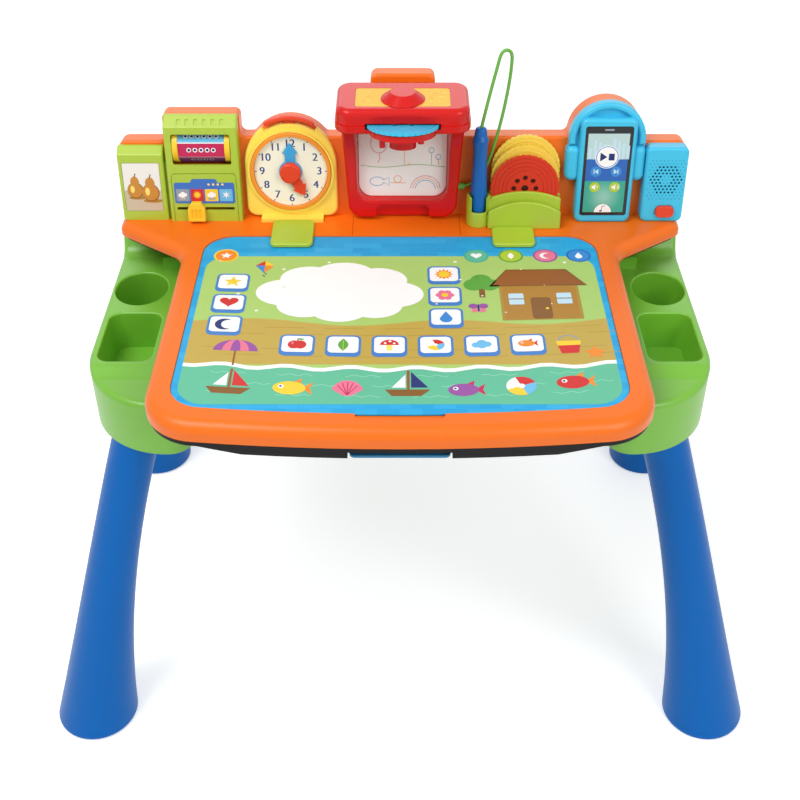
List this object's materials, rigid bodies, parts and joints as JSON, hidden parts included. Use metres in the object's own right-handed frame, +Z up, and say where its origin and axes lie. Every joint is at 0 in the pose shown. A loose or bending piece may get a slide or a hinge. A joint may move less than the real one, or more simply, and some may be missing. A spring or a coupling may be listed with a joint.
{
  "type": "learning desk",
  "caption": "Child's activity desk with a flip-up top, a leaning rear panel of clock, calendar, projector, discs, pen and player modules, side trays and splayed legs.",
  "frame": {"origin": "on the floor, in the middle of the outline seen from above", "axes": "+X to the child's right, +Y away from the child towards the rear panel, +Z up"},
  "size_m": [0.6402, 0.4748, 0.5506],
  "materials": {
    "green_plastic": "satin moulded",
    "blue_plastic": "satin moulded",
    "steel": "plain",
    "pale_green_plastic": "soft matt",
    "orange_plastic": "satin moulded",
    "dark_plastic": "fine grain",
    "chalkboard_sheet": "matt writing surface",
    "printed_sheet": "printed and laminated",
    "lime_plastic": "satin moulded",
    "yellow_plastic": "satin moulded",
    "cream_plastic": "printed",
    "red_plastic": "satin moulded",
    "hand_blue_plastic": "satin moulded",
    "light_blue_plastic": "satin moulded",
    "clear_lens": "clear",
    "green_cord": "smooth",
    "inner_parts": "plain"
  },
  "bodies": {
    "stand": {"left_tray": "green_plastic", "right_tray": "green_plastic", "front_beam": "green_plastic", "rear_beam": "green_plastic", "frame_screws": "steel", "front_left_leg": "blue_plastic", "front_right_leg": "blue_plastic", "rear_left_leg": "blue_plastic", "rear_right_leg": "blue_plastic", "rest_pads": "pale_green_plastic", "hinge_pins": "steel"},
    "desktop": {"desktop_shell": "orange_plastic", "lower_case": "dark_plastic", "chalkboard": "chalkboard_sheet", "touch_membrane": "printed_sheet", "activity_page": "printed_sheet", "page_tabs": "lime_plastic", "clip_pin": "steel", "case_screws": "steel", "battery_door": "dark_plastic", "batteries": "inner_parts", "battery_contacts": "steel", "panel_shell": "orange_plastic", "panel_back": "orange_plastic", "main_board": "inner_parts", "calendar_housing": "lime_plastic", "photo_card": "printed_sheet", "weather_label": "printed_sheet", "clock_housing": "yellow_plastic", "clock_dial": "cream_plastic", "clock_ring": "orange_plastic", "projector_frame": "red_plastic", "drawing_sheet": "cream_plastic", "projector_head": "red_plastic", "projector_lid": "red_plastic", "lid_label": "yellow_plastic", "lens_barrel": "red_plastic", "projection_lens": "clear_lens", "projector_lamp": "clear_lens", "disc_rack": "lime_plastic", "tether_cord": "green_cord", "cord_grommet": "green_cord", "player_housing": "light_blue_plastic", "player_screen": "printed_sheet", "speaker_housing": "light_blue_plastic", "speaker_driver": "inner_parts"},
    "day_drum": {"day_drum": "yellow_plastic"},
    "weather_slider": {"weather_slider": "yellow_plastic"},
    "minute_hand": {"minute_hand": "hand_blue_plastic"},
    "hour_hand": {"hour_hand": "red_plastic"},
    "clock_button": {"clock_button": "red_plastic"},
    "projector_dial": {"projector_dial": "red_plastic"},
    "image_disc": {"image_disc": "light_blue_plastic"},
    "red_disc": {"red_disc": "red_plastic"},
    "yellow_disc_front": {"yellow_disc_front": "yellow_plastic"},
    "yellow_disc_back": {"yellow_disc_back": "yellow_plastic"},
    "pen": {"pen": "blue_plastic"},
    "speaker_button": {"speaker_button": "red_plastic"},
    "easel_clip": {"easel_clip": "light_blue_plastic"}
  },
  "joints": [
    {"name": "desktop_flip", "type": "hinge", "parent": "stand", "child": "desktop", "pos_m": [0, 0.093, 0.385], "axis": [-1, 0, 0], "range_deg": [0, 100]},
    {"name": "day_drum_spin", "type": "hinge", "parent": "desktop", "child": "day_drum", "pos_m": [-0.169, 0.07269, 0.46448], "axis": [1, 0, 0], "continuous": true},
    {"name": "weather_slide", "type": "slide", "parent": "desktop", "child": "weather_slider", "axis": [1, 0, 0], "range_m": [-0.0115, 0.0265]},
    {"name": "minute_hand_spin", "type": "hinge", "parent": "desktop", "child": "minute_hand", "pos_m": [-0.094, 0.05925, 0.44528], "axis": [0, -0.9925, 0.1219], "continuous": true},
    {"name": "hour_hand_spin", "type": "hinge", "parent": "desktop", "child": "hour_hand", "pos_m": [-0.094, 0.05726, 0.44552], "axis": [0, -0.9925, 0.1219], "continuous": true},
    {"name": "clock_button_press", "type": "slide", "parent": "desktop", "child": "clock_button", "axis": [0, -0.1219, -0.9925], "range_m": [0, 0.0025], "stiffness_N_per_m": 300, "springref_m": -0.0008},
    {"name": "projector_dial_turn", "type": "hinge", "parent": "desktop", "child": "projector_dial", "pos_m": [0.0023, 0.038, 0.522], "axis": [0, 0, 1], "range_deg": [-135, 135]},
    {"name": "image_disc_spin", "type": "hinge", "parent": "desktop", "child": "image_disc", "pos_m": [0.0023, 0.022, 0.5075], "axis": [0, 0.1564, 0.9877], "continuous": true},
    {"name": "red_disc_lift", "type": "slide", "parent": "desktop", "child": "red_disc", "axis": [0, 0.1219, 0.9925], "range_m": [0, 0.045]},
    {"name": "yellow_disc_front_lift", "type": "slide", "parent": "desktop", "child": "yellow_disc_front", "axis": [0, 0.1219, 0.9925], "range_m": [0, 0.045]},
    {"name": "yellow_disc_back_lift", "type": "slide", "parent": "desktop", "child": "yellow_disc_back", "axis": [0, 0.1219, 0.9925], "range_m": [0, 0.045]},
    {"name": "pen_lift", "type": "slide", "parent": "desktop", "child": "pen", "axis": [0, 0.1219, 0.9925], "range_m": [0, 0.06], "deforming": ["tether_cord"]},
    {"name": "speaker_button_press", "type": "slide", "parent": "desktop", "child": "speaker_button", "axis": [0, 0.9925, -0.1219], "range_m": [0, 0.0015], "stiffness_N_per_m": 400, "springref_m": -0.0006},
    {"name": "easel_clip_swing", "type": "hinge", "parent": "desktop", "child": "easel_clip", "pos_m": [0, -0.2155, 0.3785], "axis": [-1, 0, 0], "range_deg": [0, 12], "stiffness_Nm_per_rad": 0.05, "springref_deg": -11.46}
  ]
}
